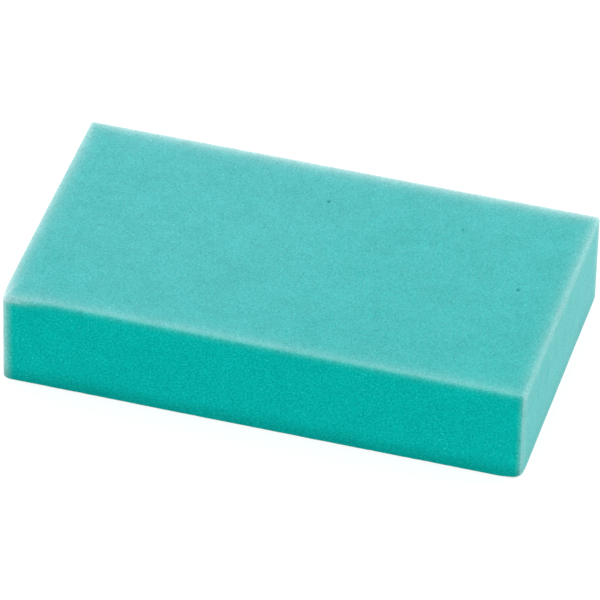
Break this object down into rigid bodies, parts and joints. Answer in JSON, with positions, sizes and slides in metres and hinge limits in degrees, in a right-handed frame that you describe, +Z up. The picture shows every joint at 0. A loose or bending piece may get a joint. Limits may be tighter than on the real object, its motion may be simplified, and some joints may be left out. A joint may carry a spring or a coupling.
{
  "type": "sanding block",
  "caption": "Plain rectangular hand sanding block of soft turquoise foam, with lightly rounded edges; abrasive paper is wrapped round it or laid on one of its flat faces.",
  "frame": {"origin": "centre of the underside, on the plane that the block rests on", "axes": "+X along the length, +Y across the width towards the back, +Z up through the thickness"},
  "size_m": [0.125, 0.071, 0.024],
  "materials": {
    "foam": "matte"
  },
  "bodies": {
    "root": {"foam_block": "foam"}
  },
  "joints": []
}
